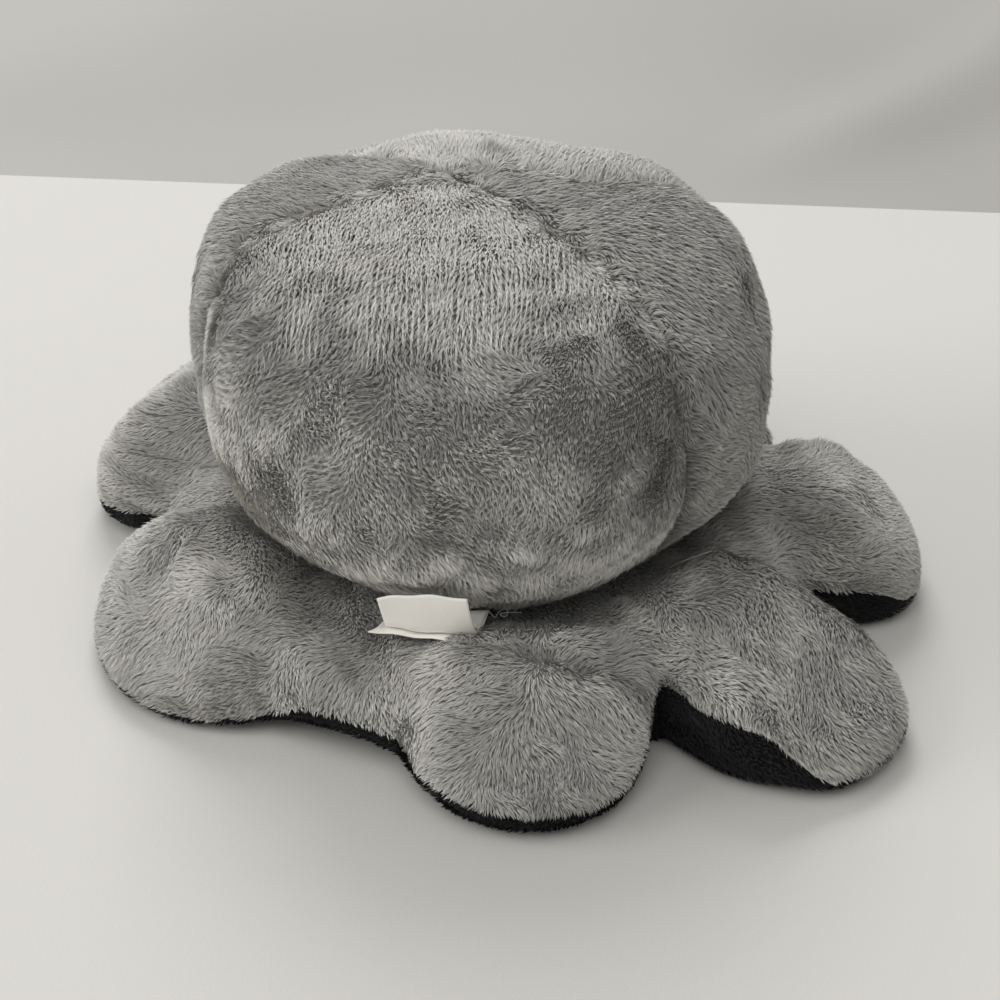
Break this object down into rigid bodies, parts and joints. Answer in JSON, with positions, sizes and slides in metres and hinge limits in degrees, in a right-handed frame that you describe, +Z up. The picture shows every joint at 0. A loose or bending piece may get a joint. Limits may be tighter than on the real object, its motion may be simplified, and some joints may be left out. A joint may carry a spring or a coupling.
{
  "type": "plush octopus",
  "caption": "Stuffed plush octopus that can be turned inside out: a round gored head on a ring of short padded tentacles, grey outside with a black turning pocket below.",
  "frame": {"origin": "on the floor, below the middle of the whole toy with its tentacles spread", "axes": "+Z up, -Y towards the front where the eyes are, +X towards the toy's own left"},
  "size_m": [0.2104, 0.1848, 0.1054],
  "materials": {
    "grey_plush": "long soft pile",
    "black_plush": "long soft pile",
    "filling": "loose fibre",
    "label_tape": "woven satin tape",
    "eye_thread": "satin embroidery"
  },
  "bodies": {
    "head_and_skirt": {"head_left_gore": "grey_plush", "head_back_gore": "grey_plush", "head_right_gore": "grey_plush", "head_front_gore": "grey_plush", "head_stuffing": "filling", "inner_head_left_gore": "black_plush", "inner_head_back_gore": "black_plush", "inner_head_right_gore": "black_plush", "inner_head_front_gore": "black_plush", "skirt_top": "grey_plush", "skirt_underside": "black_plush", "skirt_stuffing": "filling", "sewn_label": "label_tape", "eye_left": "eye_thread", "eye_right": "eye_thread"},
    "tentacle_front": {"tentacle_front_top": "grey_plush", "tentacle_front_underside": "black_plush", "tentacle_front_stuffing": "filling"},
    "tentacle_front_left": {"tentacle_front_left_top": "grey_plush", "tentacle_front_left_underside": "black_plush", "tentacle_front_left_stuffing": "filling"},
    "tentacle_left": {"tentacle_left_top": "grey_plush", "tentacle_left_underside": "black_plush", "tentacle_left_stuffing": "filling"},
    "tentacle_back_left": {"tentacle_back_left_top": "grey_plush", "tentacle_back_left_underside": "black_plush", "tentacle_back_left_stuffing": "filling"},
    "tentacle_back": {"tentacle_back_top": "grey_plush", "tentacle_back_underside": "black_plush", "tentacle_back_stuffing": "filling"},
    "tentacle_back_right": {"tentacle_back_right_top": "grey_plush", "tentacle_back_right_underside": "black_plush", "tentacle_back_right_stuffing": "filling"},
    "tentacle_right": {"tentacle_right_top": "grey_plush", "tentacle_right_underside": "black_plush", "tentacle_right_stuffing": "filling"},
    "tentacle_front_right": {"tentacle_front_right_top": "grey_plush", "tentacle_front_right_underside": "black_plush", "tentacle_front_right_stuffing": "filling"}
  },
  "joints": [
    {"name": "tentacle_front_lift", "type": "hinge", "parent": "head_and_skirt", "child": "tentacle_front", "pos_m": [0.01225, -0.05826, 0.022], "axis": [-0.9781, -0.2079, 0], "range_deg": [-10, 30], "stiffness_Nm_per_rad": 0.2},
    {"name": "tentacle_front_left_lift", "type": "hinge", "parent": "head_and_skirt", "child": "tentacle_front_left", "pos_m": [0.04543, -0.0391, 0.022], "axis": [-0.6691, -0.7431, 0], "range_deg": [-10, 30], "stiffness_Nm_per_rad": 0.2},
    {"name": "tentacle_left_lift", "type": "hinge", "parent": "head_and_skirt", "child": "tentacle_left", "pos_m": [0.06076, -0.00624, 0.022], "axis": [-0.1392, -0.9903, 0], "range_deg": [-10, 30], "stiffness_Nm_per_rad": 0.2},
    {"name": "tentacle_back_left_lift", "type": "hinge", "parent": "head_and_skirt", "child": "tentacle_back_left", "pos_m": [0.04615, 0.04306, 0.022], "axis": [0.6561, -0.7547, 0], "range_deg": [-10, 30], "stiffness_Nm_per_rad": 0.2},
    {"name": "tentacle_back_lift", "type": "hinge", "parent": "head_and_skirt", "child": "tentacle_back", "pos_m": [-0.02684, 0.05858, 0.022], "axis": [0.9063, 0.4226, 0], "range_deg": [-10, 30], "stiffness_Nm_per_rad": 0.2},
    {"name": "tentacle_back_right_lift", "type": "hinge", "parent": "head_and_skirt", "child": "tentacle_back_right", "pos_m": [-0.05813, 0.02561, 0.022], "axis": [0.3746, 0.9272, 0], "range_deg": [-10, 30], "stiffness_Nm_per_rad": 0.2},
    {"name": "tentacle_right_lift", "type": "hinge", "parent": "head_and_skirt", "child": "tentacle_right", "pos_m": [-0.06024, -0.01471, 0.022], "axis": [-0.2756, 0.9613, 0], "range_deg": [-10, 30], "stiffness_Nm_per_rad": 0.2},
    {"name": "tentacle_front_right_lift", "type": "hinge", "parent": "head_and_skirt", "child": "tentacle_front_right", "pos_m": [-0.02879, -0.05286, 0.022], "axis": [-0.891, 0.454, 0], "range_deg": [-10, 30], "stiffness_Nm_per_rad": 0.2}
  ]
}
